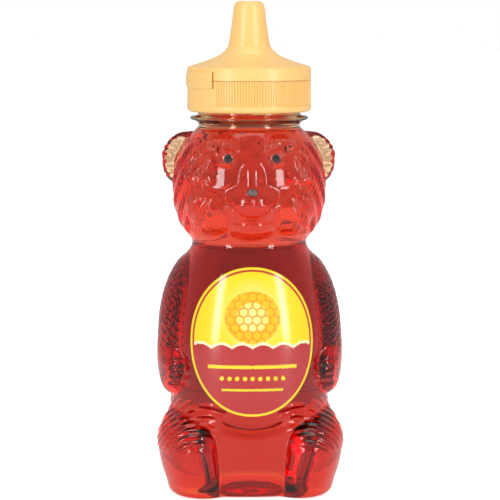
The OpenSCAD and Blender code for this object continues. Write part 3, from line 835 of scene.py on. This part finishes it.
# %% [markdown]
# Cap and lid are one moulding of cream polypropylene: satin, a little waxy, so light sinks in
# and comes out softly. A small subsurface share gives that, and a fine grain breaks the shine.
# The solids already have the ribs and the cone, so they stay and only get this finish.

# %% Cap and lid
def dress(node, material):
    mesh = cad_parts[node].data
    mesh.materials.clear()
    mesh.materials.append(material)
    print(node, "is finished in", material.name)


cap_plastic, nodes, links, shader = new_material("cap_plastic", {
    "Roughness": 0.33, "Subsurface Weight": 0.15, "Subsurface Radius": (0.004, 0.002, 0.0008),
    "Subsurface Scale": 0.3})
noise = add_grain(nodes, links, shader, 1400.0, 0.05, 0.00015)
add_shades(nodes, links, shader, noise, (0.90, 0.530, 0.165), (0.96, 0.600, 0.215))
for node in ("cap_base", "cap_lid"):
    dress(node, cap_plastic)

# %% [markdown]
# The seal over the mouth is foil with a satin, slightly crinkled face, and the gasket in the cap
# is fine foam. Both are plain flat forms, so a finish is all that they need.

# %% Seal and gasket
foil, nodes, links, shader = new_material("satin_foil", {
    "Base Color": (0.80, 0.80, 0.78, 1), "Metallic": 1.0, "Roughness": 0.35})
add_grain(nodes, links, shader, 500.0, 0.25, 0.0004)
dress("inner_seal", foil)

foam, nodes, links, shader = new_material("foam_ring", {
    "Base Color": (0.90, 0.88, 0.82, 1), "Roughness": 0.85})
add_grain(nodes, links, shader, 3500.0, 0.5, 0.0002)
dress("cap_gasket", foam)

# %% [markdown]
# The cap has a thread of its own: a ridge on the inside of the skirt with the same pitch as the
# neck's, which runs between the neck's turns. A real pair would hook behind each other. Here a
# quarter of a millimetre is left between their crests, so that they never cut into each other.

# %% The cap's thread
SKIRT_IN, CAP_RIDGE, CAP_RIDGE_HALF, CAP_RIDGE_TURNS = 19.2, 0.55, 0.8, 1.4
CAP_RIDGE_LOW = THREAD_LOW - PITCH / 2 + 0.5
RIDGE_STEPS, RIDGE_ENDS, RIDGE_LEAST = 150, 0.06, 0.03
SUNK_IN, CREST_SHARE = 0.3, 0.35


def helix_ridge(z_start, turns, root, tip, half):
    """A closed ridge of four-sided section along a right-handed helix."""
    points = []
    for k in range(RIDGE_STEPS + 1):
        along = k / RIDGE_STEPS
        t = along * turns
        a = 2 * math.pi * t - math.pi / 2
        z = z_start + PITCH * t
        stops = fade(np.array(along), 1 - RIDGE_ENDS, 1)
        grow = float(fade(np.array(along), 0, RIDGE_ENDS) * (1 - stops))
        r = root + (tip - root) * max(grow, RIDGE_LEAST)
        for radius, dz in ((root + SUNK_IN, -half), (r, -half * CREST_SHARE),
                           (r, half * CREST_SHARE), (root + SUNK_IN, half)):
            points.append((radius * math.cos(a), radius * math.sin(a), z + dz))
    faces = [(3, 2, 1, 0), tuple(4 * RIDGE_STEPS + i for i in range(4))]
    for k in range(RIDGE_STEPS):
        for i in range(4):
            j = (i + 1) % 4
            faces.append((4 * k + i, 4 * k + j, 4 * k + 4 + j, 4 * k + 4 + i))
    return points, faces


ridge = helix_ridge(CAP_RIDGE_LOW, CAP_RIDGE_TURNS, SKIRT_IN, SKIRT_IN - CAP_RIDGE, CAP_RIDGE_HALF)
cap_thread = mesh_piece("cap_thread", *ridge, cap_plastic, "cap_plastic", "cap")

# %% [markdown]
# Lid and cap are joined by a thin web, which is the hinge. It would tear if it rode on one of them,
# so it is a curved strip that rides on neither.

# %% The hinge web
WEB_IN, WEB_T, WEB_LOW, WEB_HIGH, WEB_HALF = 21.1, 0.45, 137.6, 143.2, 51.5
WEB_INNER_GAP, WEB_OUTER_GAP, WEB_COLUMNS, WEB_ROWS = 0.02, 0.06, 61, 15
SEAM_Z = 140.3
web_angles = np.radians(np.linspace(180 - WEB_HALF, 180 + WEB_HALF, WEB_COLUMNS))
web_z = np.linspace(WEB_LOW, WEB_HIGH, WEB_ROWS)
bulge = 1 - np.abs((web_z - SEAM_Z) / (WEB_HIGH - WEB_LOW) * 2) ** 3
section = [(WEB_IN + WEB_INNER_GAP, z) for z in web_z] + [
    (WEB_IN + WEB_OUTER_GAP + WEB_T * max(b, 0), z) for b, z in zip(bulge[::-1], web_z[::-1])]
points = [(r * math.cos(a), r * math.sin(a), z) for a in web_angles for r, z in section]
m = len(section)
faces = [tuple(range(m)), tuple((len(web_angles) - 1) * m + i for i in reversed(range(m)))]
for k in range(len(web_angles) - 1):
    for i in range(m):
        j = (i + 1) % m
        faces.append((k * m + i, (k + 1) * m + i, (k + 1) * m + j, k * m + j))
hinge_web = mesh_piece("hinge_web", points, faces, cap_plastic, "hinge_plastic")
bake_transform(hinge_web)
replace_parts(hinge_web, "cap_hinge")

# %% [markdown]
# The bottle stands on a plain white floor that keeps its shadow. Enough light to turn the floor
# white would bleach the bottle too, so the floor glows a little, but only for the camera.

# %% Floor
FLOOR_HALF, FLOOR_GLOW = 6.0, 0.62
floor_paint, nodes, links, shader = new_material("white_floor", {
    "Base Color": (0.96, 0.96, 0.96, 1), "Roughness": 0.6})
glow = nodes.new("ShaderNodeEmission")
both = nodes.new("ShaderNodeAddShader")
path = nodes.new("ShaderNodeLightPath")
shown = nodes.new("ShaderNodeMapRange")
shown.inputs["To Min"].default_value = 0.0
shown.inputs["To Max"].default_value = FLOOR_GLOW
links.new(path.outputs["Is Camera Ray"], shown.inputs["Value"])
links.new(shown.outputs["Result"], glow.inputs["Strength"])
links.new(shader.outputs["BSDF"], both.inputs[0])
links.new(glow.outputs["Emission"], both.inputs[1])
links.new(both.outputs["Shader"], nodes["Material Output"].inputs["Surface"])
corners = [(x * FLOOR_HALF, y * FLOOR_HALF, 0.0) for x, y in ((-1, -1), (1, -1), (1, 1), (-1, 1))]
mesh = bpy.data.meshes.new("floor")
mesh.from_pydata(corners, [], [(0, 1, 2, 3)])
mesh.materials.append(floor_paint)
floor = bpy.data.objects.new("floor", mesh)
bpy.context.scene.collection.objects.link(floor)
print("floor:", 2 * FLOOR_HALF, "m wide")

# %% [markdown]
# Clear things take their look from what stands behind them, so the world is white where the
# camera sees it, straight on or through the bottle. As a source of light it is dimmer, and a
# colour then renders about as it is written.

# %% World
WORLD_LIGHT, WORLD_SHOWN = 0.54, 1.0
world = bpy.data.worlds.new("studio")
bpy.context.scene.world = world
world.use_nodes = True
nodes, links = world.node_tree.nodes, world.node_tree.links
light = nodes["Background"]
light.inputs["Color"].default_value = (1, 1, 1, 1)
path = nodes.new("ShaderNodeLightPath")
seen = nodes.new("ShaderNodeMath")
seen.operation = "MAXIMUM"
level = nodes.new("ShaderNodeMapRange")
level.inputs["To Min"].default_value = WORLD_LIGHT
level.inputs["To Max"].default_value = WORLD_SHOWN
links.new(path.outputs["Is Camera Ray"], seen.inputs[0])
links.new(path.outputs["Is Transmission Ray"], seen.inputs[1])
links.new(seen.outputs["Value"], level.inputs["Value"])
links.new(level.outputs["Result"], light.inputs["Strength"])
print("world:", WORLD_LIGHT, "as light,", WORLD_SHOWN, "as background")

# %% [markdown]
# Gloss needs something to mirror. Two tall softboxes in front leave the long soft highlights of
# a studio picture on both flanks, and a third above lights the cap.

# %% Softboxes
LAMPS_LOOK_AT = Vector((0, 0, 0.08))
# place, width and height in metres, and watts
SOFTBOXES = {
    "strip_left": ((-0.55, -0.62, 0.30), (0.16, 0.55), 2.7),
    "strip_right": ((0.55, -0.62, 0.30), (0.16, 0.55), 2.7),
    "top": ((0.0, -0.1, 0.9), (0.6, 0.6), 2.2)}

for name, (place, size, watts) in SOFTBOXES.items():
    lamp = bpy.data.lights.new(name, "AREA")
    lamp.shape = "RECTANGLE"
    lamp.size, lamp.size_y = size
    lamp.energy = watts
    lamp_object = bpy.data.objects.new(name, lamp)
    bpy.context.scene.collection.objects.link(lamp_object)
    lamp_object.location = place
    aim = -(lamp_object.location - LAMPS_LOOK_AT)
    lamp_object.rotation_euler = aim.to_track_quat("-Z", "Y").to_euler()
    print("softbox", name, watts, "W")

# %% [markdown]
# The camera is 0.89 m away and a little above the bottle's top. It looks down by less than six
# degrees, and it stands two and a half degrees round to the viewer's left.

# %% Camera
DISTANCE, HEIGHT, PITCH_DOWN, AZIMUTH = 0.890, 0.171, 5.72, -2.5
FOCAL_PIXELS, IMAGE_PIXELS, AXIS_PIXEL = 2610.0, 500.0, 249.2
SENSOR_MM, CLIP_NEAR, CLIP_FAR = 36.0, 0.05, 30
camera_data = bpy.data.cameras.new("camera")
camera_data.sensor_width = SENSOR_MM
camera_data.lens = FOCAL_PIXELS / IMAGE_PIXELS * SENSOR_MM
camera_data.clip_start, camera_data.clip_end = CLIP_NEAR, CLIP_FAR
camera = bpy.data.objects.new("camera", camera_data)
bpy.context.scene.collection.objects.link(camera)
around = math.radians(AZIMUTH)
camera.location = (DISTANCE * math.sin(around), -DISTANCE * math.cos(around), HEIGHT)
yaw_off = math.atan((IMAGE_PIXELS / 2 - AXIS_PIXEL) / FOCAL_PIXELS)
camera.rotation_euler = (math.radians(90 - PITCH_DOWN), 0, around - yaw_off)
bpy.context.scene.camera = camera
bpy.context.scene.view_settings.view_transform = "Standard"
print("camera: lens", round(camera_data.lens, 1), "mm")

# %% [markdown]
# A ray that enters an arm crosses wall and honey, mirrors off the far skin and crosses them
# again. With the usual limit of 12 it is dropped on the way and the arms turn black.

# %% Deeper paths through clear bodies
LIGHT_PATH = 48
cycles = bpy.context.scene.cycles
cycles.max_bounces = LIGHT_PATH
cycles.transmission_bounces = LIGHT_PATH
cycles.transparent_max_bounces = LIGHT_PATH
print("light crosses up to", LIGHT_PATH, "faces")
